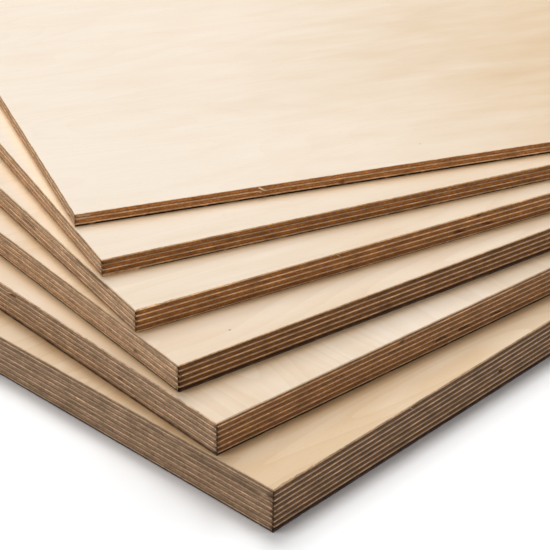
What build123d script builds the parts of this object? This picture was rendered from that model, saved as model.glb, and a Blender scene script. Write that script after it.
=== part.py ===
from build123d import *
from dataclasses import dataclass
import os

# A stack of six birch plywood sheets, laid thickest at the bottom and thinnest on top.
# All six are cut to one size and fanned out like cards about a corner that they share,
# so that every sheet shows a step of its face and two of its sawn edges.
# Millimetres, +Z up. Each sheet is one solid: its veneers are pressed and glued into one
# board, and they show as steps on the sawn edges.

# Plan of every sheet.
SHEET_WIDTH = 400.0
SHEET_LENGTH = 600.0

# Veneers. The two face veneers are sanded thinner than the inner ones, which share what
# is left of the sheet's thickness. Their grain turns by a quarter from ply to ply.
FACE_PLY = 1.0
# On a sawn edge, plies seen end-on wear back behind the plies seen along their grain.
END_GRAIN_STEP = 0.2

# Real thickness of each sheet. The name is the size it is sold as: sanding leaves the thick
# sheets a little under it, and thin ones may stand a little over.
THICKNESS_24 = 23.6
THICKNESS_18 = 17.4
THICKNESS_15 = 14.5
THICKNESS_12 = 12.3
THICKNESS_9 = 9.4
THICKNESS_6_5 = 6.9

# Angle that each sheet is fanned by about the shared corner, in degrees clockwise from above.
FAN_24_DEG = 0.0
FAN_18_DEG = 5.2
FAN_15_DEG = 9.7
FAN_12_DEG = 14.9
FAN_9_DEG = 20.25
FAN_6_5_DEG = 25.8

# The fan was laid by hand, so the sheets' corners miss the shared one by these slips along
# the bottom sheet's front edge.
SLIP_24 = 0.0
SLIP_18 = -0.5
SLIP_15 = 1.6
SLIP_12 = 0.4
SLIP_9 = 0.2
SLIP_6_5 = -0.6


@dataclass(frozen=True)
class Sheet:
    name: str
    thickness: float
    plies: int
    face_grain: str
    turn: float
    slip: float


# From the bottom up. The 18 mm sheet was cut with its face grain the other way.
STACK = [
    Sheet("sheet_24mm", THICKNESS_24, 17, "across", FAN_24_DEG, SLIP_24),
    Sheet("sheet_18mm", THICKNESS_18, 13, "along", FAN_18_DEG, SLIP_18),
    Sheet("sheet_15mm", THICKNESS_15, 11, "across", FAN_15_DEG, SLIP_15),
    Sheet("sheet_12mm", THICKNESS_12, 9, "across", FAN_12_DEG, SLIP_12),
    Sheet("sheet_9mm", THICKNESS_9, 7, "across", FAN_9_DEG, SLIP_9),
    Sheet("sheet_6_5mm", THICKNESS_6_5, 5, "across", FAN_6_5_DEG, SLIP_6_5),
]


def glue_lines(sheet):
    """Heights of both faces and of every glue line, from the underside up."""
    inner_ply = (sheet.thickness - 2 * FACE_PLY) / (sheet.plies - 2)
    inner_lines = [FACE_PLY + number * inner_ply for number in range(sheet.plies - 1)]
    return [0.0, *inner_lines, sheet.thickness]


def grain_of_plies(sheet):
    """The grain of each ply, from the underside up: across the sheet or along it."""
    other = "along" if sheet.face_grain == "across" else "across"
    return [other if number % 2 else sheet.face_grain for number in range(sheet.plies)]


def stepped_section(sheet, span, end_grain):
    """Section through a sheet between two opposite edges, a step at every glue line.

    Plies whose grain is end_grain are seen end-on at those edges and stand back."""
    lines = glue_lines(sheet)
    near_side = []
    for low, high, grain in zip(lines, lines[1:], grain_of_plies(sheet)):
        reach = span / 2 - END_GRAIN_STEP if grain == end_grain else span / 2
        near_side.append((reach, low))
        near_side.append((reach, high))
    far_side = [(-reach, height) for reach, height in reversed(near_side)]
    return make_face(Polyline(*near_side, *far_side, close=True))


def board(sheet):
    """One flat sheet, centred in plan, with its underside at height zero.

    One stepped section runs the length, the other the width. The sheet is what both hold."""
    across = Plane.XZ * stepped_section(sheet, SHEET_WIDTH, "across")
    along = Plane.YZ * stepped_section(sheet, SHEET_LENGTH, "along")
    length_run = extrude(across, SHEET_LENGTH / 2, both=True)
    width_run = extrude(along, SHEET_WIDTH / 2, both=True)
    return (length_run & width_run).solid()


def fanned_stack():
    """Every sheet in its place, its near right corner on the corner that all share."""
    placed = []
    level = 0.0
    for sheet in STACK:
        corner_at_origin = Pos(-SHEET_WIDTH / 2, SHEET_LENGTH / 2, 0)
        place = Pos(sheet.slip, 0, level) * Rot(0, 0, -sheet.turn) * corner_at_origin
        placed.append(place * board(sheet))
        level += sheet.thickness
    return placed


sheets = fanned_stack()

# The stack stands on its origin: the middle of its box in plan, at the underside.
box = Compound(sheets).bounding_box()
recentre = Pos(-box.center().X, -box.center().Y, 0)

os.makedirs("parts", exist_ok=True)
for sheet, solid in zip(STACK, sheets):
    placed_solid = recentre * solid
    placed_solid.label = sheet.name
    placed_solid.color = Color("burlywood")
    export_step(placed_solid, f"parts/{sheet.name}.step")

shared_corner = recentre * Pos(0, 0, 0)
print("shared corner", shared_corner.position)
print("overall size", box.size)
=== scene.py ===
# %% [markdown]
# # A fanned stack of birch plywood sheets
# Six sheets lie on each other, thickest at the bottom, fanned like cards about one corner.
# Plywood is recognised by its sawn edge: pale plies cut along their grain, darker plies cut
# across it, and dark glue lines between them. The faces are plain sanded veneer.
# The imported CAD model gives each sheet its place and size. It is loaded first and never
# moved, and every detailed sheet is built into the place of its CAD node.

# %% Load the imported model
import math
from dataclasses import dataclass, field

import bpy
import numpy as np
from mathutils import Matrix, Vector, geometry


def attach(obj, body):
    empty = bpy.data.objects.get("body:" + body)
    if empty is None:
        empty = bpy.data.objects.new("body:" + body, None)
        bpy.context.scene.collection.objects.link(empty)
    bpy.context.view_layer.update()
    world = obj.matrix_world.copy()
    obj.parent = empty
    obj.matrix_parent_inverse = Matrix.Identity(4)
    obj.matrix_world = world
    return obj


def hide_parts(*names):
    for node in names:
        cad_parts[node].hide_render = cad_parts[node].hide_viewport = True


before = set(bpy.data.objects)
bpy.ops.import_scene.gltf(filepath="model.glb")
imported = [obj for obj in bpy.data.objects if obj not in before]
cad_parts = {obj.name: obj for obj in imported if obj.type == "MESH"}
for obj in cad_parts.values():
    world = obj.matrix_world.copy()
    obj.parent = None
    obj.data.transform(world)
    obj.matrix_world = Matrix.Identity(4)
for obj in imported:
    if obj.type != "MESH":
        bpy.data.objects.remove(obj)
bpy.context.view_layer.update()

MM = 0.001
print("CAD nodes", sorted(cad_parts))

# %% [markdown]
# ## Camera
# A product photograph of a stack is taken with a long lens, so that the parallel edges stay
# nearly parallel. The camera could be aimed at a target with a constraint, but a heading, a
# pitch and a small roll say exactly how it stands, and they carry over to any other scene.
# The roll is the slight tilt of a camera held by hand.

# %% Camera
LENS_MM = 112.89
SENSOR_MM = 36
FAR_CLIP_M = 50
CAMERA_MM = Vector((-788.44, -778.48, 468.6))
HEADING_DEG = 42.682
PITCH_DEG = -28.445
ROLL_DEG = 0.9195


def camera_turn(heading, pitch, roll):
    """Rotation of a camera that looks along a heading and pitch, rolled about its view."""
    level = math.cos(pitch)
    view = Vector((level * math.cos(heading), level * math.sin(heading), math.sin(pitch)))
    right = view.cross(Vector((0, 0, 1))).normalized()
    up = right.cross(view)
    rolled_right = math.cos(roll) * right + math.sin(roll) * up
    rolled_up = math.cos(roll) * up - math.sin(roll) * right
    return Matrix((rolled_right, rolled_up, -view)).transposed()


camera_data = bpy.data.cameras.new("camera")
camera_data.lens = LENS_MM
camera_data.sensor_width = SENSOR_MM
camera_data.clip_end = FAR_CLIP_M
camera = bpy.data.objects.new("camera", camera_data)
bpy.context.scene.collection.objects.link(camera)
turn = camera_turn(*(math.radians(angle) for angle in (HEADING_DEG, PITCH_DEG, ROLL_DEG)))
camera.matrix_world = Matrix.Translation(CAMERA_MM * MM) @ turn.to_4x4()
bpy.context.scene.camera = camera
print("camera at", tuple(round(value, 3) for value in camera.location))

# %% [markdown]
# ## Small tools for materials
# Colours are easiest to pick and to read as sRGB hex values, but shaders work with linear
# light, so one function turns the one into the other. Another adds a node, sets it and links
# it in one line. The rest are named after what their nodes do, such as reading a value that
# the mesh stores or mixing two colours, which keeps a material readable as a recipe.

# %% Colour and node tools
def linear(hex_colour):
    """An sRGB hex colour as the linear colour that a shader expects."""
    channels = [int(hex_colour[start:start + 2], 16) / 255 for start in (1, 3, 5)]
    light = [c / 12.92 if c <= 0.04045 else ((c + 0.055) / 1.055) ** 2.4 for c in channels]
    return (*light, 1.0)


def add(tree, kind, settings=None, inputs=None):
    """Adds one shader node. An input is given a value, or a socket to link from."""
    node = tree.nodes.new("ShaderNode" + kind)
    for name, value in (settings or {}).items():
        setattr(node, name, value)
    for name, value in (inputs or {}).items():
        if isinstance(value, bpy.types.NodeSocket):
            tree.links.new(value, node.inputs[name])
        else:
            node.inputs[name].default_value = value
    return node


def new_material(name):
    """An empty material with its shader, ready for its nodes."""
    material = bpy.data.materials.new(name)
    material.use_nodes = True
    return material, material.node_tree, material.node_tree.nodes["Principled BSDF"]


print("white as linear light", linear("#FFFFFF"))


# %% Nodes by what they do
def stored(tree, name, kind="Fac"):
    """A value that the mesh stores under that name."""
    return add(tree, "Attribute", {"attribute_name": name}).outputs[kind]


def reckon(tree, operation, *values, clamp=False):
    """The result of one Math node."""
    settings = {"operation": operation, "use_clamp": clamp}
    return add(tree, "Math", settings, dict(enumerate(values))).outputs[0]


def remap(tree, value, low, high, new_low=0.0, new_high=1.0):
    """A value carried from one range to another, and held inside the new one."""
    ranges = {"From Min": low, "From Max": high, "To Min": new_low, "To Max": new_high}
    return add(tree, "MapRange", None, {"Value": value, **ranges}).outputs[0]


def stretched(tree, place, size):
    """A place in mm, counted along each axis in steps of that size."""
    steps = tuple(1 / side for side in size)
    return add(tree, "VectorMath", {"operation": "MULTIPLY"}, {0: place, 1: steps}).outputs[0]


def noise(tree, place, size, detail, **more):
    """Soft noise from 0 to 1 that changes over about that size in mm along each axis."""
    inputs = {"Vector": stretched(tree, place, size), "Scale": 1.0, "Detail": detail, **more}
    return add(tree, "TexNoise", None, inputs).outputs["Fac"]


def mix(tree, amount, first, second, blend="MIX"):
    """A colour between two. Sockets 6 and 7 of a Mix node are its colours, output 2 the result."""
    settings = {"data_type": "RGBA", "blend_type": blend}
    return add(tree, "Mix", settings, {0: amount, 6: first, 7: second}).outputs[2]


print("tools for nodes are ready")

# %% [markdown]
# ## The sheets as data
# Everything that differs from sheet to sheet is listed here: the plies and their thickness,
# which way the face grain runs, how mellow the veneer and how light the sawn wood looks, and
# the small accidents of real board. Sawing lays open small gaps in the core, tears fibres out
# of the edge and chips the face. Where two sheets touch, and where the stack meets the floor,
# a dark line of painted shadow runs along the foot of each edge. One record for each sheet
# keeps these apart from the code that shapes them. Places on an edge are in mm from the near
# corner, and depths are in mm below the top face.

# %% What is said of each sheet
# mellow: how yellow the face veneer has turned, from 0 for fresh to 1
# top_ply, inner_ply: thickness of the top ply and of the inner ones. The lowest has the rest.
# browned_and_shaded: how much the front and back edges are browned and darkened, partly as
#     painted shade
# front_shade, left_shade: how light the sawn wood is, on its long grain and on its end grain,
#     on the front and back edges and on the left and right ones. Partly the wood's own tone and
#     partly painted light: the left edges are set lighter to stand in for light from the left
# top_arris, low_arris: height of the worn strip at the top and at the foot of the edge
# low_shade: how light the lowest ply is beside the others; below 1 it is painted shade at the foot
# core_gaps: side, from, to, ply counted from the top, depth into the edge
# marks: side, from, to, from depth, to depth, strength of the mark, below 0 for a pale one.
#     Some are stains, and the dark ones at the foot of each edge are painted shadow
# ragged: side, from, to, how much of the top arris is lost
# splinters, all on the front edge: place and depth of the root, place and depth of the tip,
#     thickness, curl
@dataclass
class Sheet:
    node: str
    plies: int
    face_grain: str
    turn_deg: float
    mellow: float
    top_ply: float
    inner_ply: float
    browned_and_shaded: float
    front_shade: tuple
    left_shade: tuple
    top_arris: float
    low_arris: float
    low_shade: float
    core_gaps: list = field(default_factory=list)
    marks: list = field(default_factory=list)
    ragged: list = field(default_factory=list)
    splinters: list = field(default_factory=list)


WIDTH = 400.0
LENGTH = 600.0
# A mark along a whole edge runs past its corners, so that it doesn't fade there.
WHOLE_FRONT = ("front", -2, WIDTH + 2)
WHOLE_LEFT = ("left", -2, LENGTH + 2)
print("sheets of", WIDTH, "x", LENGTH, "mm")

# %% The three thick sheets
# The dark marks at the foot of each edge are painted shadow, where the sheet meets the floor or the
# sheet below.
THICK_SHEETS = [
    Sheet("sheet_24mm", plies=17, face_grain="across", turn_deg=0.0, mellow=0.85,
          top_ply=1.3, inner_ply=1.43, browned_and_shaded=0.7,
          front_shade=(1.0, 0.46), left_shade=(1.0, 0.79),
          top_arris=0.2, low_arris=0.6, low_shade=0.9,
          core_gaps=[("front", 167, 169.5, 9, 1.2)],
          marks=[("front", 167, 170, 12.4, 13.6, 0.9), ("left", 8, 53, 5.0, 6.6, 0.4),
                 ("left", 6, 9, 5.2, 6.2, -0.35), ("left", -1, 2.6, 1.7, 2.1, 0.9),
                 ("left", -1, 3.4, 4.5, 4.9, 0.9), (*WHOLE_FRONT, 21.9, 23.6, 1.0),
                 (*WHOLE_LEFT, 22.4, 23.6, 0.8)],
          ragged=[("front", 5, 27, 0.5)],
          splinters=[(95.6, 1.4, 99.8, 4.7, 0.3, 0.0)]),
    Sheet("sheet_18mm", plies=13, face_grain="along", turn_deg=5.2, mellow=0.6,
          top_ply=1.05, inner_ply=1.405, browned_and_shaded=0.9,
          front_shade=(1.04, 0.84), left_shade=(1.08, 0.83),
          top_arris=0.35, low_arris=0.6, low_shade=0.75,
          core_gaps=[("front", 160, 168, 9, 2.6), ("front", 143, 152, 9, 1.4),
                     ("front", 183, 192, 9, 1.6), ("left", 160, 166, 3, 1.8)],
          marks=[("front", 117, 119.5, 2.0, 3.2, 0.8), ("left", 70.5, 73.5, 9.2, 10.6, 0.6),
                 (*WHOLE_FRONT, 16.2, 17.4, 1.15), (*WHOLE_LEFT, 16.2, 17.4, 0.8)]),
    Sheet("sheet_15mm", plies=11, face_grain="across", turn_deg=9.7, mellow=0.47,
          top_ply=0.9, inner_ply=1.435, browned_and_shaded=1.0,
          front_shade=(1.02, 0.62), left_shade=(1.16, 1.15),
          top_arris=0.2, low_arris=0.45, low_shade=0.9,
          core_gaps=[("front", 110, 128, 2, 0.4), ("front", 136, 160, 2, 0.5),
                     ("front", 172, 215, 2, 0.4)],
          marks=[("front", 121, 129, 9.0, 12.0, 0.3), ("left", 35, 37.5, 9.4, 10.8, 0.7),
                 (*WHOLE_FRONT, 13.2, 14.5, 0.95), (*WHOLE_LEFT, 13.6, 14.5, 0.75)]),
]
print("thick sheets", [sheet.node for sheet in THICK_SHEETS])

# %% The three thin sheets
# The dark marks at the foot of each edge are painted shadow, where the sheet meets the one below.
THIN_SHEETS = [
    Sheet("sheet_12mm", plies=9, face_grain="across", turn_deg=14.9, mellow=0.27,
          top_ply=1.05, inner_ply=1.42, browned_and_shaded=1.0,
          front_shade=(1.16, 1.1), left_shade=(1.35, 1.23),
          top_arris=0.25, low_arris=0.4, low_shade=1.0,
          core_gaps=[("front", 187, 195, 6, 1.6), ("front", 205, 215, 6, 1.5)],
          marks=[("front", 202, 204.5, 0.9, 2.0, 0.8), ("left", 28, 63, 1.1, 2.3, 0.7),
                 ("left", 111, 127, 5.0, 6.6, 0.5), (*WHOLE_FRONT, 12.1, 12.3, 0.7),
                 (*WHOLE_LEFT, 11.4, 12.3, 0.4), (*WHOLE_LEFT, 0.2, 0.8, -0.4)],
          ragged=[("front", 0, 22, 0.7), ("front", 22, 60, 0.35)],
          splinters=[(113.4, 0.3, 116.4, 2.6, 0.34, 0.3)]),
    Sheet("sheet_9mm", plies=7, face_grain="across", turn_deg=20.25, mellow=0.1,
          top_ply=1.05, inner_ply=1.32, browned_and_shaded=1.0,
          front_shade=(1.15, 1.12), left_shade=(1.48, 1.38),
          top_arris=0.15, low_arris=0.45, low_shade=1.1,
          marks=[(*WHOLE_FRONT, 2.5, 3.4, 0.35), ("left", 0, 100, 0.9, 1.5, 0.35),
                 ("left", 100, 140, 0.9, 1.5, 0.25), (*WHOLE_LEFT, 7.6, 9.4, 0.2),
                 ("front", 20, 402, 8.9, 9.4, 1.0)]),
    Sheet("sheet_6_5mm", plies=5, face_grain="across", turn_deg=25.8, mellow=0.0,
          top_ply=0.6, inner_ply=1.4, browned_and_shaded=0.9,
          front_shade=(1.08, 1.42), left_shade=(1.2, 1.2),
          top_arris=0.15, low_arris=0.85, low_shade=1.35,
          marks=[("front", 144, 146.5, 4.2, 5.4, 0.9), ("front", 0.4, 8.5, 0.6, 2.2, -0.55),
                 (*WHOLE_FRONT, 6.1, 6.9, 1.3), (*WHOLE_LEFT, 5.9, 6.9, 0.4)],
          splinters=[(98.2, 0.75, 102.6, 2.6, 1.3, 1.0), (99.8, 3.2, 97.2, 2.1, 1.0, 0.9),
                     (1.6, 3.0, 8.4, 1.4, 0.28, 0.3), (2.4, 1.4, 6.0, 2.8, 0.26, 0.25),
                     (3.6, 2.9, 10.0, 2.2, 0.2, 0.25)]),
]
SHEETS = THICK_SHEETS + THIN_SHEETS
for number, sheet in enumerate(SHEETS):
    print(number, sheet.node, sheet.plies, "plies")

# %% [markdown]
# ## Where each sheet lies
# A detailed sheet has to fall exactly on its CAD node. Its box in the frame doesn't say how
# it is turned, so the CAD points are measured along the sheet's own turned axes instead.
# The lowest values along both give the near corner, where the sheet's own millimetres start.

# %% Measure a CAD node along its own axes
def lie_of(sheet):
    """The transform from a sheet's own metres to the frame, and its thickness in mm."""
    angle = math.radians(sheet.turn_deg)
    front = np.array((math.cos(angle), -math.sin(angle), 0))
    side = np.array((math.sin(angle), math.cos(angle), 0))
    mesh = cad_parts[sheet.node].data
    points = np.empty(len(mesh.vertices) * 3)
    mesh.vertices.foreach_get("co", points)
    points = points.reshape(-1, 3)
    corner = front * (points @ front).min() + side * (points @ side).min()
    corner[2] = points[:, 2].min()
    place = Matrix.Identity(4)
    for column, axis in enumerate((front, side, (0, 0, 1), corner)):
        for row in range(3):
            place[row][column] = axis[row]
    spans = (np.ptp(points @ front) / MM, np.ptp(points @ side) / MM)
    print(sheet.node, "spans", np.round(spans, 3), "corner", np.round(corner / MM, 2))
    return place, np.ptp(points[:, 2]) / MM


# %% [markdown]
# ## Veneer coordinates
# Wood looks different on every cut because its fibres run one way. Each point therefore gets
# `grain_mm`: millimetres along the grain of its own ply, across it, and up through the board.
# Noise stretched along the first axis draws streaks on a ply sawn along its grain and dots on
# one sawn across it, with no unwrapping. Every sheet starts a thousand millimetres further
# on, and every ply thirty higher, so no two are cut from the same wood.

# %% Face and edge coordinates
SHEET_SHIFT = 1000.0
PLY_SHIFT = 30.0


def grain_place(sheet, u, v):
    """A place on a sheet's face veneer, as millimetres along and across its grain."""
    along, across = (u, v) if sheet.face_grain == "across" else (v, u)
    return along + SHEET_SHIFT * SHEETS.index(sheet), across


print("sheet_18mm's near corner in grain_mm", grain_place(SHEETS[1], 0, 0))

# %% [markdown]
# ## Sanded birch face veneer
# The face is a rotary-peeled veneer: the knife unrolls the log, so the growth rings show as
# wide wandering contours, in birch only a shade darker than the rest. Sanding leaves it
# smooth and matt with a faint satin. An image of wood would repeat, so the contours are
# the level lines of one stretched noise field. Adding a soft hill to the field makes the
# closed ovals that lie round a small knot.

# %% Face veneer: figure of the growth rings
face_veneer, tree, shader = new_material("sanded_birch_face_veneer")
place = stored(tree, "grain_mm", "Vector")
sheet_mellow = stored(tree, "mellow")


def hill(tree, place, sheet_number, u, v, reach_u, reach_v):
    """A soft hill on one sheet's face: 1 at its middle, about a third at its reach."""
    sheet = SHEETS[sheet_number]
    along, across = grain_place(sheet, u, v)
    reach = (reach_u, reach_v) if sheet.face_grain == "across" else (reach_v, reach_u)
    offset = add(tree, "VectorMath", {"operation": "SUBTRACT"}, {0: place, 1: (along, across, 0)})
    scaled = add(tree, "VectorMath", {"operation": "MULTIPLY"},
                 {0: offset.outputs[0], 1: (1 / reach[0], 1 / reach[1], 0)}).outputs[0]
    square = add(tree, "VectorMath", {"operation": "DOT_PRODUCT"}, {0: scaled, 1: scaled})
    return reckon(tree, "EXPONENT", reckon(tree, "MULTIPLY", square.outputs["Value"], -1.0))


RING_FIELD_MM = (330.0, 52.0, 20.0)
RINGS_PER_FIELD = 15.0
# sheet number, place along the front and left edge, reach both ways in mm, height of the hill
SWIRLS = [(0, 24, 38, 24, 8, 0.3), (5, 69, 235, 34, 20, 0.12), (0, 300, 420, 50, 26, 0.25),
          (3, 250, 330, 46, 24, 0.2)]

rings = noise(tree, place, RING_FIELD_MM, 1.4, Roughness=0.4, Distortion=0.25)
for *where, height in SWIRLS:
    rings = reckon(tree, "MULTIPLY_ADD", hill(tree, place, *where), height, rings)
ring_phase = reckon(tree, "FRACT", reckon(tree, "MULTIPLY", rings, RINGS_PER_FIELD))
late_wood = reckon(tree, "POWER", ring_phase, 2.0)
print("face veneer draws", len(SWIRLS), "swirls")

# %% [markdown]
# Over the rings lie finer things: slow changes of tone, soft blotches drawn out along the
# grain, fibres about half a millimetre wide, and the short dark dashes of the wood's pores.
# Real pores are 0.1 mm wide, too fine for this distance, so they are drawn 0.3 mm wide and
# fainter than they are. Two pin knots sit where the real sheets have them.

# %% Face veneer: tone, blotches, fibres, pores and pin knots
UP_MM = 10 / 3
tone = noise(tree, place, (190, 85, UP_MM), 2.0)
blotch = noise(tree, place, (52, 15, UP_MM), 2.0)
fibre = noise(tree, place, (38, 0.6, UP_MM), 3.0)
pore_place = stretched(tree, place, (9, 1.6, UP_MM))
pore = add(tree, "TexVoronoi", None, {"Vector": pore_place, "Scale": 1.0})
pore_dash = remap(tree, pore.outputs["Distance"], 0.1, 0.2, 1.0, 0.0)
# sheet number, place along the front and left edge, radius in mm
PIN_KNOTS = [(2, 38.4, 12.7, 0.6), (5, 200.3, 21.5, 0.4)]
# A knot is drawn out along the grain, and is fully dark over this share of its radius.
KNOT_STRETCH = (0.6, 1, 0)
KNOT_HEART = 0.4
knots = 0.0
for number, u, v, radius in PIN_KNOTS:
    along, across = grain_place(SHEETS[number], u, v)
    near = add(tree, "VectorMath", {"operation": "SUBTRACT"}, {0: place, 1: (along, across, 0)})
    flat = add(tree, "VectorMath", {"operation": "MULTIPLY"}, {0: near.outputs[0], 1: KNOT_STRETCH})
    far = add(tree, "VectorMath", {"operation": "LENGTH"}, {0: flat.outputs[0]}).outputs["Value"]
    dot = remap(tree, far, radius * KNOT_HEART, radius, 1.0, 0.0)
    knots = reckon(tree, "MAXIMUM", dot, knots)
print("face veneer has", len(PIN_KNOTS), "pin knots")

# %% [markdown]
# The veneer turns from fresh to mellow by sheet, by wide patches and by blotches, and rings,
# fibres and pores darken it a little. In the corner at the foot of the sheet above, the colour
# is tinted warmer and darker as painted shade, standing in for warm bounce light. The Ambient
# Occlusion node finds such corners from every side: it is 1 on an open face and less where
# something stands close by.

# %% Face veneer: colour, roughness and relief
FRESH_VENEER = linear("#EFE2D2")
FRESH_SHADE = linear("#E9DBC9")
MELLOW_VENEER = linear("#DFC5A5")
MELLOW_SHADE = linear("#D4B892")
RING_TAN = linear("#BD8E5C")
PORE_TAN = linear("#B08960")
PIN_KNOT_BROWN = linear("#94704E")
PORE_STRENGTH = 0.1
FOOT_REACH_MM = 9.0
FOOT_PAINTED_SHADE_TINT = (1.14, 1.0, 0.8, 1.0)

# sheet number, place along the front and left edge, reach both ways in mm, how much more mellow
# The patches that turn the 6.5, 9 and 12 mm sheets tanner toward their right are partly the
# veneer's tone and partly painted light, the face darker where less light falls.
TONE_PATCHES = [(5, 400, 80, 200, 220, 1.0), (5, 30, 20, 60, 60, -0.12), (4, 260, 20, 170, 90, 0.5),
                (4, 5, 150, 40, 60, -0.2), (3, 260, 20, 150, 90, 0.3), (1, 140, 5, 80, 60, -0.4),
                (0, 10, 5, 70, 40, 0.2)]
mellow = sheet_mellow
for *where, change in TONE_PATCHES:
    mellow = reckon(tree, "MULTIPLY_ADD", hill(tree, place, *where), change, mellow)
blotch_depth = remap(tree, mellow, 0, 1, 0.45, 0.9)
mellow = reckon(tree, "MULTIPLY_ADD", reckon(tree, "SUBTRACT", blotch, 0.5), blotch_depth, mellow)
fresh = mix(tree, tone, FRESH_VENEER, FRESH_SHADE)
aged = mix(tree, tone, MELLOW_VENEER, MELLOW_SHADE)
colour = mix(tree, mellow, fresh, aged)
ring_depth = remap(tree, sheet_mellow, 0, 1, 0.04, 0.2)
colour = mix(tree, reckon(tree, "MULTIPLY", late_wood, ring_depth), colour, RING_TAN)
colour = mix(tree, remap(tree, fibre, 0.4, 0.8, 0.0, 0.08), colour, RING_TAN)
colour = mix(tree, reckon(tree, "MULTIPLY", pore_dash, PORE_STRENGTH), colour, PORE_TAN)
colour = mix(tree, knots, colour, PIN_KNOT_BROWN)
# Painted shade: corners near the sheet above are tinted warmer and darker.
foot = add(tree, "AmbientOcclusion", {"samples": 8}, {"Distance": FOOT_REACH_MM * MM}).outputs["AO"]
colour = mix(tree, remap(tree, foot, 0.6, 0.98, 1.0, 0.0), colour, FOOT_PAINTED_SHADE_TINT, "MULTIPLY")
tree.links.new(colour, shader.inputs["Base Color"])
tree.links.new(remap(tree, fibre, 0, 1, 0.62, 0.78), shader.inputs["Roughness"])
relief = add(tree, "Bump", None, {"Height": fibre, "Strength": 0.25, "Distance": 0.03 * MM})
tree.links.new(relief.outputs["Normal"], shader.inputs["Normal"])
shader.inputs["IOR"].default_value = 1.5
shader.inputs["Specular IOR Level"].default_value = 0.3
print(face_veneer.name, "has", len(tree.nodes), "nodes")

# %% [markdown]
# ## The sawn plies
# On the edge, each ply is either cut along its grain, which is smooth and pale with long
# streaks, or across it, where the open ends of the fibres swallow light and look darker.
# Over that lie the fine marks of the saw, the fuzz of torn fibres and blotches of grime. On
# the front and back edges the wood is browned and darkened, partly as painted shade. Both plies
# are the same birch, so one recipe makes both and takes only the colours and the streaks.

# %% Sawn ply materials
# Pale marks are pale wood, and in part painted highlight on arrises and torn fibres.
PALE_WOOD_AND_PAINTED_HIGHLIGHT = linear("#E9CFA9")
DARK_STAIN_AND_PAINTED_SHADE = linear("#3A1E08")
SAW_SHADE = 0.05
GRIME_SHADE = 0.32
FUZZ_SHADE = 0.3


def sawn_birch(name, raw_pair, browned_and_shaded_pair, streak_mm, rough):
    """A ply on a sawn edge. streak_mm is the size of its streaks along, across and up."""
    material, tree, shader = new_material(name)
    place = stored(tree, "grain_mm", "Vector")
    edge = stored(tree, "edge_mm", "Vector")
    streak = noise(tree, place, streak_mm, 3.0, Roughness=0.6)
    saw = noise(tree, edge, (1.3, 20, 1), 2.0)
    grime = noise(tree, edge, (12, 3.5, 1), 3.0)
    fuzz = noise(tree, edge, (2.2, 0.8, 1), 3.0)
    amount = remap(tree, streak, 0.3, 0.7)
    raw, brown = (mix(tree, amount, linear(pale), linear(dark))
                  for pale, dark in (raw_pair, browned_and_shaded_pair))
    # Front and back edges are browned and darkened, partly as painted shade.
    wood = mix(tree, stored(tree, "browned_and_shaded"), raw, brown)
    shade = stored(tree, "edge_shade")
    for pattern, depth in ((saw, SAW_SHADE), (grime, GRIME_SHADE), (fuzz, FUZZ_SHADE)):
        lighter = remap(tree, pattern, 0.3, 0.7, 1 - depth, 1 + depth)
        shade = reckon(tree, "MULTIPLY", shade, lighter)
    shaded = add(tree, "VectorMath", {"operation": "SCALE"}, {0: wood, "Scale": shade})
    # Dark marks are stains, and painted shadow at the foot of each edge.
    mark = stored(tree, "mark")
    pale_mark = reckon(tree, "MULTIPLY", mark, -1.0, clamp=True)
    dark_stain_and_shade = reckon(tree, "MULTIPLY", mark, 1.0, clamp=True)
    lightened = mix(tree, pale_mark, shaded.outputs[0], PALE_WOOD_AND_PAINTED_HIGHLIGHT)
    tree.links.new(mix(tree, dark_stain_and_shade, lightened, DARK_STAIN_AND_PAINTED_SHADE), shader.inputs["Base Color"])
    relief = add(tree, "Bump", None, {"Height": reckon(tree, "ADD", streak, fuzz),
                                      "Strength": 0.6, "Distance": 0.12 * MM})
    tree.links.new(relief.outputs["Normal"], shader.inputs["Normal"])
    shader.inputs["Roughness"].default_value = rough
    shader.inputs["IOR"].default_value = 1.5
    shader.inputs["Specular IOR Level"].default_value = 0.15
    return material


long_grain = sawn_birch("sawn_birch_long_grain", ("#DCBEA0", "#C4A284"), ("#DEBA90", "#C69B6B"),
                        (14.0, 1.0, 0.45), 0.7)
end_grain = sawn_birch("sawn_birch_end_grain", ("#D2A984", "#AE835E"), ("#B07237", "#835021"),
                       (12.0, 0.8, 0.6), 0.85)
print(long_grain.name, end_grain.name)

# %% [markdown]
# ## Phenolic glue line
# The veneers are bonded with phenolic resin, which sets dark brown and slightly glossy. It
# soaks into the fibres beside it, so the line on the edge is wider than the film itself,
# about half a millimetre, and is broken where the saw smeared wood over it.

# %% Glue line material
glue_line, tree, shader = new_material("phenolic_glue_line")
smear = noise(tree, stored(tree, "edge_mm", "Vector"), (5, 2, 1), 3.0)
smeared = remap(tree, smear, 0.4, 0.75)
pale_line = mix(tree, smeared, linear("#86653F"), linear("#B08C66"))
dark_line = mix(tree, smeared, linear("#6E4019"), linear("#A0683A"))
line = mix(tree, stored(tree, "browned_and_shaded"), pale_line, dark_line)
shaded = add(tree, "VectorMath", {"operation": "SCALE"},
             {0: line, "Scale": stored(tree, "edge_shade")})
# Dark marks are stains, and painted shadow at the foot of each edge.
dark_stain_and_shade = reckon(tree, "MULTIPLY", stored(tree, "mark"), 1.0, clamp=True)
stained = mix(tree, dark_stain_and_shade, shaded.outputs[0], DARK_STAIN_AND_PAINTED_SHADE)
tree.links.new(stained, shader.inputs["Base Color"])
shader.inputs["Roughness"].default_value = 0.55
shader.inputs["IOR"].default_value = 1.6
MATERIALS = [face_veneer, long_grain, end_grain, glue_line]
FACE, LONG, END, GLUE = range(4)
print([material.name for material in MATERIALS])

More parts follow.
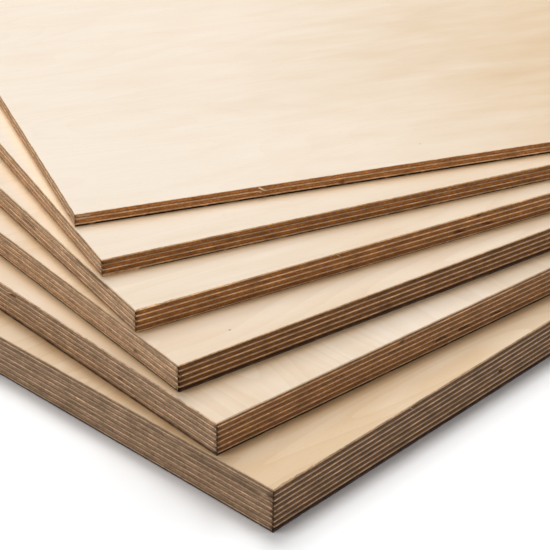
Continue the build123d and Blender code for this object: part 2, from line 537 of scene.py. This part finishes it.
# %% [markdown]
# ## Seeded noise for the shape
# Small accidents need random numbers that stay the same on every run. This is the simplest
# smooth noise: a seeded table of values at whole steps, eased between them. Blender's own
# noise module works one point at a time, and these meshes have hundreds of thousands.

# %% Smooth noise for many points at once
NOISE_VALUES = 8192


def soft_noise(x, y, seed):
    """Smooth values from 0 to 1 that change over about one unit of x and of y."""
    table = np.random.default_rng(seed).random(NOISE_VALUES)
    column = np.floor(x).astype(int)
    row = np.floor(y).astype(int)
    right = (x - column) ** 2 * (3 - 2 * (x - column))
    up = (y - row) ** 2 * (3 - 2 * (y - row))
    values = [table[((column + a) * 1619 + (row + b) * 6971) % NOISE_VALUES]
              for b in (0, 1) for a in (0, 1)]
    low = values[0] * (1 - right) + values[1] * right
    high = values[2] * (1 - right) + values[3] * right
    return low * (1 - up) + high * up


print("noise at a few points", np.round(soft_noise(np.arange(4) * 0.7, np.zeros(4), 1), 3))

# %% [markdown]
# ## Rows and columns of a sawn edge
# The edge of a sheet is a grid of points that runs once round it. Rows go up through the
# plies: three for each ply, with a narrow band between plies for the glue line, and one more
# at the top and at the foot for the worn arris. Columns follow the four sides, a millimetre
# apart where fine detail matters and wider elsewhere.

# %% Rows and columns
GLUE_BAND = 0.4


def edge_rows(sheet, thickness):
    """Height, ply number and place in the ply (-1 low, 1 high) of every row, going up."""
    lines = [thickness - (sheet.top_ply + n * sheet.inner_ply) for n in range(sheet.plies - 1)]
    lines = [0, *reversed(lines), thickness]
    rows = [(0, 0, -1)]
    for ply in range(sheet.plies):
        low = lines[ply] + (sheet.low_arris if ply == 0 else GLUE_BAND / 2)
        high = lines[ply + 1] - (sheet.top_arris if ply == sheet.plies - 1 else GLUE_BAND / 2)
        rows += [(low, ply, -1), ((low + high) / 2, ply, 0), (high, ply, 1)]
    rows.append((thickness, sheet.plies - 1, 1))
    return np.array(rows, float)


def spaced(length, fine_length, coarse):
    """Distances from a corner, fine at first and coarse further on, without the far end."""
    fine = np.concatenate([[0, 0.6, 1.2], np.arange(2, fine_length, 1)]) if fine_length else []
    return np.concatenate([fine, np.arange(fine_length, length, coarse)])


def edge_columns():
    """Plan places of the columns, anticlockwise from the near corner, and their way round."""
    front = spaced(WIDTH, 290, 2.0)
    right = spaced(LENGTH, 0, 2.5)
    back = spaced(WIDTH, 0, 2.5)
    left = np.concatenate([[LENGTH], spaced(LENGTH, 300, 2.0)[:0:-1]])
    u = np.concatenate([front, np.full(len(right), WIDTH), WIDTH - back, np.zeros(len(left))])
    v = np.concatenate([np.zeros(len(front)), right, np.full(len(back), LENGTH), left])
    around = np.concatenate([front, WIDTH + right, -LENGTH - (WIDTH - back), -left])
    return u, v, around


u, v, around = edge_columns()
print("columns round a sheet", len(u))

# %% [markdown]
# ## How far each point stands back
# The CAD sheet is the most that the board can be, so all roughness goes inwards. Plies cut
# across their grain stand back behind the others and chip at the corners, the saw wanders a
# tenth of a millimetre, fibres tear, and core gaps are short pockets in one ply where two
# veneers didn't meet.

# %% Depth of the sawn surface
END_GRAIN_STEP = 0.2
TORN_FIBRE = 0.16
STREAK_RELIEF = 0.07
SAW_WANDER = 0.10
CORNER_CHIP = 2.6
CORNER_CHIP_REACH = 1.1
SIDES = ["front", "right", "back", "left"]
ACROSS_SIDES = ("front", "back")


def sunk(sheet, side, along, rows):
    """Depth in mm of one side's points behind the CAD face, and which rows are long grain."""
    seed = SHEETS.index(sheet) * 10 + SIDES.index(side)
    height, ply, level = (rows[:, n:n + 1] for n in range(3))
    runs_along = "across" if side in ACROSS_SIDES else "along"
    is_long = (ply % 2 == 0) == (sheet.face_grain == runs_along)
    along = along[None, :]
    step = END_GRAIN_STEP * (0.4 + 1.2 * soft_noise(along / 6, ply * 3.7, seed))
    torn = TORN_FIBRE * soft_noise(along / 0.9, height / 0.45, seed + 100)
    streaky = STREAK_RELIEF * soft_noise(along / 7, height / 0.35, seed + 200)
    wander = SAW_WANDER * soft_noise(along / 55, np.full_like(along, 0.5), seed + 300)
    near_corner = CORNER_CHIP * np.exp(-along / CORNER_CHIP_REACH)
    chipped = near_corner * soft_noise(ply * 2.3, ply * 0 + 0.5, seed + 500)
    chipped = chipped * ((ply > 0) & (ply < sheet.plies - 1))
    depth = wander + np.where(is_long, streaky, step + torn + chipped)
    from_top = sheet.plies - ply
    for gap_side, start, stop, gap_ply, gap_depth in sheet.core_gaps:
        if gap_side == side:
            reach = np.abs(along - (start + stop) / 2) / ((stop - start) / 2)
            pocket = gap_depth * np.clip(1.6 - 1.4 * reach, 0, 1) * (1 - 0.25 * np.abs(level))
            rough = 0.7 + 0.6 * soft_noise(along / 1.6, height / 0.5, seed + 400)
            depth = depth + np.where(from_top == gap_ply, pocket * rough, 0)
    return depth, is_long


print("the plies cut across their grain stand back about", END_GRAIN_STEP, "mm")

# %% Wear of the arrises
LEAST_LOSS = 0.05
FRAYED_END_GRAIN = 0.3
FRAYED_LONG_GRAIN = 0.16


def arris_loss(sheet, side, along, seed_shift):
    """How much of the arris has crumbled away, in mm, along one side."""
    seed = SHEETS.index(sheet) * 10 + SIDES.index(side) + seed_shift
    runs_along = "across" if side in ACROSS_SIDES else "along"
    frayed = FRAYED_END_GRAIN if sheet.face_grain != runs_along else FRAYED_LONG_GRAIN
    chips = np.clip(soft_noise(along / 1.8, along * 0, seed) - 0.55, 0, 1) * 2.2
    patches = np.clip(soft_noise(along / 19, along * 0 + 0.5, seed + 50) * 2 - 0.7, 0, 1)
    loss = LEAST_LOSS + frayed * chips * patches
    for ragged_side, start, stop, amount in sheet.ragged:
        if ragged_side == side:
            inside = (along >= start) & (along <= stop)
            teeth = np.clip(soft_noise(along / 1.3, along * 0, seed + 80) * 1.8 - 0.5, 0, 1)
            loss = loss + inside * amount * teeth
    return loss


print("no arris is sharper than", LEAST_LOSS, "mm")

# %% [markdown]
# ## One sheet as one closed mesh
# The edge grid is sunk side by side, and a corner point is sunk from both of its sides, which
# gives the zigzag corner that plywood has. The plies cut along their grain are pinched, so
# that they read as thin ribs. Both faces are filled with triangles between the grid's last
# row and a few inner points. A torn fibre is a tapered sliver of its own.

# %% Stains, painted shade and highlight, and the points of the edge
MARK_EASE_MM = 1.2
MARK_MARGIN_MM = 0.25
PINCH = 0.13
LOW_WEAR = 0.6
ARRIS_WEAR_AND_PAINTED_HIGHLIGHT = -0.7
CORNER_PIT_PAINTED_SHADE = 0.8
CORNER_PIT_REACH = 1.3


# The dark marks at the foot of each edge are painted shadow, and the others are stains and pale
# marks.
def stains_and_painted_shade(sheet, side, along, below):
    """Strength of one side's marks, for each depth below the top face and each place."""
    total = np.zeros((len(below), len(along)))
    for mark_side, start, stop, shallow, deep, strength in sheet.marks:
        if mark_side == side:
            ease = np.clip(np.minimum(along - start, stop - along) / MARK_EASE_MM + 0.6, 0, 1)
            inside = (below >= shallow - MARK_MARGIN_MM) & (below <= deep + MARK_MARGIN_MM)
            broken = soft_noise(along / 3, along * 0, 900 + SHEETS.index(sheet))
            total += inside * strength * ease * np.clip(0.55 + broken * 0.9, 0, 1)
    return total


def edge_grid(sheet, thickness, rows, u, v):
    """Points of the edge all round in mm, the mark on each, and each side's long-grain rows."""
    x = np.tile(u, (len(rows), 1))
    y = np.tile(v, (len(rows), 1))
    z = np.tile(rows[:, :1], (1, len(u)))
    mark = np.zeros_like(z)
    long_cut = {}
    reach = {"front": v == 0, "right": u == WIDTH, "back": v == LENGTH, "left": u == 0}
    for side in SIDES:
        here = reach[side]
        along = (u if side in ACROSS_SIDES else v)[here]
        depth, is_long = sunk(sheet, side, along, rows)
        long_cut[side] = is_long[:, 0]
        top_loss = arris_loss(sheet, side, along, 500)
        low_loss = arris_loss(sheet, side, along, 600) * LOW_WEAR
        depth[-1] = depth[-2] + top_loss + sheet.top_arris
        depth[0] = depth[1] + low_loss + 0.3 * sheet.low_arris
        depth[[0, -1]] = np.minimum(depth[[0, -1]], 0.3 + 0.25 * along)
        z[2:-2, here] -= PINCH * (rows[2:-2, 2:3] * is_long[2:-2])
        z[-2, here] = np.minimum(z[-2, here], thickness - sheet.top_arris - top_loss * 0.6)
        z[1, here] = np.maximum(z[1, here], low_loss)
        if side in ACROSS_SIDES:
            y[:, here] += depth if side == "front" else -depth
        else:
            x[:, here] += depth if side == "left" else -depth
        mark[:, here] += stains_and_painted_shade(sheet, side, along, thickness - rows[:, :1])
        # Where the top ply is end grain its arris is painted pale: partly worn veneer, partly
        # painted highlight.
        if not is_long[-1, 0]:
            mark[-2:, here] += ARRIS_WEAR_AND_PAINTED_HIGHLIGHT
        # Painted shade: end-grain plies are darkened right at the corner, in the pits of the chips.
        pit_shade = np.exp(-along / CORNER_PIT_REACH) * (1 - is_long[2:-2])
        mark[2:-2, here] += CORNER_PIT_PAINTED_SHADE * pit_shade
    return np.stack([x, y, z], -1), mark, long_cut


print("marks in all", sum(len(sheet.marks) for sheet in SHEETS))


# %% A board that grows block by block
class Board:
    """A sheet's points and faces, each with the values that its materials read."""

    def __init__(self):
        self.points, self.grain, self.edge, self.mark = [], [], [], []
        self.faces, self.slots, self.browned_and_shaded, self.shade = [], [], [], []

    def add_points(self, points, grain, edge, mark):
        """Takes a block of points and gives the number of its first one."""
        first = sum(len(block) for block in self.points)
        self.points.append(points)
        self.grain.append(grain)
        self.edge.append(edge)
        self.mark.append(mark)
        return first

    def add_faces(self, faces, slots, browned_and_shaded, shade):
        """Takes faces with the material, browning and shade of each."""
        self.faces += faces
        self.slots += slots
        self.browned_and_shaded += browned_and_shaded
        self.shade += shade


print("an empty board has", len(Board().faces), "faces")


# %% The sawn edge of a board
def add_edge(board, sheet, thickness, rows):
    """Builds the edge all round and gives its grid of points."""
    index = SHEETS.index(sheet)
    u, v, around = edge_columns()
    grid, mark, long_cut = edge_grid(sheet, thickness, rows, u, v)
    x, y, z = (grid[..., axis] for axis in range(3))
    plies = rows[:, 1].astype(int)
    across = ((plies % 2 == 0) == (sheet.face_grain == "across"))[:, None]
    grain = np.stack([np.where(across, x, y) + SHEET_SHIFT * index,
                      np.where(across, y, x), z + PLY_SHIFT * plies[:, None]], -1)
    edge = np.stack([np.tile(around, (len(rows), 1)), z, np.full_like(z, 3.0 * index)], -1)
    board.add_points(grid.reshape(-1, 3), grain.reshape(-1, 3), edge.reshape(-1, 3), mark.ravel())

    here = np.arange(len(u))
    after = np.roll(here, -1)
    middle_u = (u + u[after]) / 2
    middle_v = (v + v[after]) / 2
    side_of = np.select([middle_v == 0, middle_u == WIDTH, middle_v == LENGTH], [0, 1, 2], 3)
    browned_and_shaded = [sheet.browned_and_shaded if SIDES[n] in ACROSS_SIDES else 0.0 for n in side_of]
    tones = np.random.default_rng(40 + index).uniform(0.9, 1.1, sheet.plies)
    for row, ply in enumerate(plies[:-1]):
        is_glue = plies[row + 1] != ply
        tone = tones[ply] * (sheet.low_shade if ply == 0 else 1)
        kinds, shades = [], []
        for side in SIDES:
            is_long = long_cut[side][row]
            pair = sheet.front_shade if side in ACROSS_SIDES else sheet.left_shade
            kinds.append(GLUE if is_glue else LONG if is_long else END)
            shades.append(tone * pair[0 if is_long and not is_glue else 1])
        low = row * len(u)
        high = low + len(u)
        faces = np.column_stack([low + here, low + after, high + after, high + here])
        board.add_faces(faces.tolist(), [kinds[n] for n in side_of], browned_and_shaded,
                        [shades[n] for n in side_of])
    return grid


# %% The two faces of a board
INNER_STEP = 12.0


def face_triangles(ring, inner):
    """Triangles that fill a ring of plan points and use the inner points, seen from above."""
    points = [Vector(point) for point in np.vstack([ring, inner])]
    loop = [list(range(len(ring)))]
    _, _, triangles, sources, _, _ = geometry.delaunay_2d_cdt(points, [], loop, 1, 1e-6)
    return [[sources[corner][0] for corner in triangle] for triangle in triangles]


def add_veneers(board, sheet, thickness, rows, grid):
    """Fills the underside and the top of the edge's grid with face veneer."""
    inner_u, inner_v = np.meshgrid(np.arange(INNER_STEP, WIDTH - 1, INNER_STEP),
                                   np.arange(INNER_STEP, LENGTH - 1, INNER_STEP))
    inner = np.column_stack([inner_u.ravel(), inner_v.ravel()])
    along, across = grain_place(sheet, inner[:, 0], inner[:, 1])
    count, columns = grid.shape[:2]
    # An underside is seen from below, so its triangles turn the other way.
    for row, level, order in ((0, 0.0, -1), (count - 1, thickness, 1)):
        height = np.full(len(inner), level)
        points = np.column_stack([inner, height])
        grain = np.column_stack([along, across, height + PLY_SHIFT * rows[row, 1]])
        first = board.add_points(points, grain, points, np.zeros(len(inner)))
        ids = np.concatenate([row * columns + np.arange(columns), first + np.arange(len(inner))])
        triangles = face_triangles(grid[row, :, :2], inner)
        faces = [[int(ids[corner]) for corner in triangle][::order] for triangle in triangles]
        board.add_faces(faces, [FACE] * len(faces), [0.0] * len(faces), [1.0] * len(faces))


print("inner points of a face are", INNER_STEP, "mm apart")

# %% Torn fibres
SLIVER_STEPS = 6
SLIVER_TAPER = 0.85
ROOT_DEPTH = 0.2
# Torn fibres are painted pale and bright: partly fresh pale wood, partly painted light where they
# catch the light from above.
SLIVER_SHADE = 1.25
SLIVER_PALE_AND_PAINTED_LIGHT = -1.0


def sliver(root, tip, thickness, curl):
    """Points and faces of one torn fibre, tapered to its tip and curled off the edge."""
    root, tip, curl = (np.array(value, float) for value in (root, tip, curl))
    run = tip - root
    side = np.cross(run, (0, 0, 1.0))
    side = side / max(np.linalg.norm(side), 1e-6)
    lift = np.cross(run, side) / max(np.linalg.norm(run), 1e-6)
    points, faces = [], []
    for step in range(SLIVER_STEPS):
        t = step / (SLIVER_STEPS - 1)
        middle = root + run * t + curl * math.sin(math.pi * t)
        width = thickness * (1 - SLIVER_TAPER * t) / 2
        for turn in range(3):
            angle = 2 * math.pi * turn / 3 + t
            points.append(middle + width * (math.cos(angle) * side + math.sin(angle) * lift))
        if step:
            base = 3 * (step - 1)
            faces += [[base + n, base + (n + 1) % 3, base + 3 + (n + 1) % 3, base + 3 + n]
                      for n in range(3)]
    last = 3 * (SLIVER_STEPS - 1)
    return np.array(points), faces + [[2, 1, 0], [last, last + 1, last + 2]]


def add_splinters(board, sheet, thickness):
    """Adds the sheet's torn fibres to its front edge."""
    shift = (SHEET_SHIFT * SHEETS.index(sheet), 0, 0)
    for start, start_depth, stop, stop_depth, thick, curl in sheet.splinters:
        root = (start, ROOT_DEPTH, thickness - start_depth)
        tip = (stop, ROOT_DEPTH - curl, thickness - stop_depth)
        points, sides = sliver(root, tip, thick, (0, -curl, 0))
        first = board.add_points(points, points + shift, points, np.full(len(points), SLIVER_PALE_AND_PAINTED_LIGHT))
        faces = [[first + corner for corner in face] for face in sides]
        count = len(faces)
        board.add_faces(faces, [LONG] * count, [0.0] * count, [SLIVER_SHADE] * count)


print("torn fibres in all", sum(len(sheet.splinters) for sheet in SHEETS))

# %% [markdown]
# The finished lists become one mesh. What belongs to a point or a face is stored as an
# attribute, which the materials read by name. Turns sharper than the angle below stay crisp
# and the rest is shaded smooth, so the plies have clean edges without more faces.

# %% Make the object of one sheet
SHARP_DEG = 35


def sheet_object(sheet):
    """A closed detailed sheet in the place of its CAD node."""
    place, thickness = lie_of(sheet)
    rows = edge_rows(sheet, thickness)
    board = Board()
    grid = add_edge(board, sheet, thickness, rows)
    add_veneers(board, sheet, thickness, rows, grid)
    add_splinters(board, sheet, thickness)

    mesh = bpy.data.meshes.new(sheet.node + "_board")
    mesh.from_pydata((np.vstack(board.points) * MM).tolist(), [], board.faces)
    for material in MATERIALS:
        mesh.materials.append(material)
    mesh.polygons.foreach_set("material_index", board.slots)
    for name, blocks in (("grain_mm", board.grain), ("edge_mm", board.edge)):
        values = np.vstack(blocks).ravel()
        mesh.attributes.new(name, "FLOAT_VECTOR", "POINT").data.foreach_set("vector", values)
    marks = np.concatenate(board.mark)
    mesh.attributes.new("mark", "FLOAT", "POINT").data.foreach_set("value", marks)
    mellow = [sheet.mellow] * len(board.faces)
    for name, values in (("browned_and_shaded", board.browned_and_shaded), ("edge_shade", board.shade),
                         ("mellow", mellow)):
        mesh.attributes.new(name, "FLOAT", "FACE").data.foreach_set("value", values)
    mesh.polygons.foreach_set("use_smooth", [True] * len(board.faces))
    mesh.update()
    mesh.set_sharp_from_angle(angle=math.radians(SHARP_DEG))
    mesh.transform(place)
    piece = bpy.data.objects.new(sheet.node + "_board", mesh)
    bpy.context.scene.collection.objects.link(piece)
    return piece


# %% Build all six and put them in the CAD nodes' places
for sheet in SHEETS:
    piece = sheet_object(sheet)
    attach(piece, "root")
    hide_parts(sheet.node)
    triangles = sum(len(face.vertices) - 2 for face in piece.data.polygons)
    print(piece.name, "triangles", triangles, "size", [round(side, 4) for side in piece.dimensions])

# %% [markdown]
# ## Floor
# The stack lies on seamless white paper. To the camera it is plain white, yet it keeps the
# object's soft shadow. The paper that other surfaces see is a little darker than the one
# that the camera sees, so that it doesn't flood the sawn edges with light. Far from the
# stack it shines a little by itself, so that the paper stays white out to the horizon.

# %% White paper that keeps the shadow
PAPER_SIZE_M = 12
GLOW_FROM_M = 0.62
GLOW_TO_M = 1.6
GLOW = 0.8
paper, tree, shader = new_material("white_paper_backdrop")
path = add(tree, "LightPath").outputs
seen = reckon(tree, "MAXIMUM", path["Is Camera Ray"], path["Is Glossy Ray"])
seen = reckon(tree, "MAXIMUM", seen, path["Is Transmission Ray"])
spot = add(tree, "TexCoord").outputs["Object"]
pulp = add(tree, "TexNoise", None, {"Vector": spot, "Scale": 900.0, "Detail": 2.0}).outputs["Fac"]
dim_paper = mix(tree, pulp, linear("#DEDDDB"), linear("#D9D8D7"))
bright_paper = mix(tree, pulp, linear("#FFFFFF"), linear("#FDFDFD"))
tree.links.new(mix(tree, seen, dim_paper, bright_paper), shader.inputs["Base Color"])
shader.inputs["Roughness"].default_value = 0.9
shader.inputs["Specular IOR Level"].default_value = 0.0
distance = add(tree, "VectorMath", {"operation": "LENGTH"}, {0: spot}).outputs["Value"]
glow = remap(tree, distance, GLOW_FROM_M, GLOW_TO_M, 0.0, GLOW)
tree.links.new(reckon(tree, "MULTIPLY", seen, glow), shader.inputs["Emission Strength"])
shader.inputs["Emission Color"].default_value = (1, 1, 1, 1)
bpy.ops.mesh.primitive_plane_add(size=PAPER_SIZE_M)
floor = bpy.context.object
floor.name = "floor"
floor.data.materials.append(paper)
print("floor", [round(side, 2) for side in floor.dimensions])

# %% [markdown]
# ## Light
# The shadow in a photograph tells where its light stands. Here it lies under both visible
# edges and is gone a sheet's thickness away, so the lamps are large and soft: three hang high
# above the stack, and the strongest stands behind it. The left edges are lighter than the
# front ones and neither is black, so two weak lamps stand low, one to the right of the camera
# and one to its left. The room itself adds little. One sun would be simpler, but it would
# draw hard shadows.

# %% Soft lamps and room
LIT_CORNER = Vector((-0.31, -0.30, 0.04))
LAMP_DISTANCE_M = 9.0
ROOM_LIGHT = 0.01


def softbox(name, from_deg, height_deg, size, level):
    """A round soft lamp. At level 1 it shows a surface that faces it in its own colour."""
    heading = math.radians(from_deg)
    rise = math.radians(height_deg)
    flat = math.cos(rise)
    away = Vector((math.cos(heading) * flat, math.sin(heading) * flat, math.sin(rise)))
    data = bpy.data.lights.new(name, "AREA")
    data.shape = "DISK"
    data.size = size
    data.energy = level * (math.pi * LAMP_DISTANCE_M) ** 2
    lamp = bpy.data.objects.new(name, data)
    bpy.context.scene.collection.objects.link(lamp)
    lamp.location = LIT_CORNER + away * LAMP_DISTANCE_M
    lamp.rotation_euler = away.to_track_quat("Z", "Y").to_euler()
    print(name, [round(value, 2) for value in lamp.location], round(data.energy), "W")


softbox("overhead_right_softbox", 45, 70, 3.5, 0.34)
softbox("overhead_left_softbox", 135, 70, 3.5, 0.28)
softbox("overhead_front_softbox", 290, 68, 4.5, 0.11)
softbox("back_softbox", 56, 50, 5.4, 0.52)
softbox("front_softbox", 315, 16, 4.6, 0.19)
softbox("left_softbox", 180, 13, 3.6, 0.16)

world = bpy.data.worlds.new("pale_room")
bpy.context.scene.world = world
world.use_nodes = True
tree = world.node_tree
room = tree.nodes["Background"]
path = add(tree, "LightPath").outputs
seen = reckon(tree, "MAXIMUM", path["Is Camera Ray"], path["Is Transmission Ray"])
tree.links.new(remap(tree, seen, 0, 1, ROOM_LIGHT, 1.0), room.inputs["Strength"])
room.inputs["Color"].default_value = (1, 1, 1, 1)
bpy.context.scene.view_settings.view_transform = "Standard"
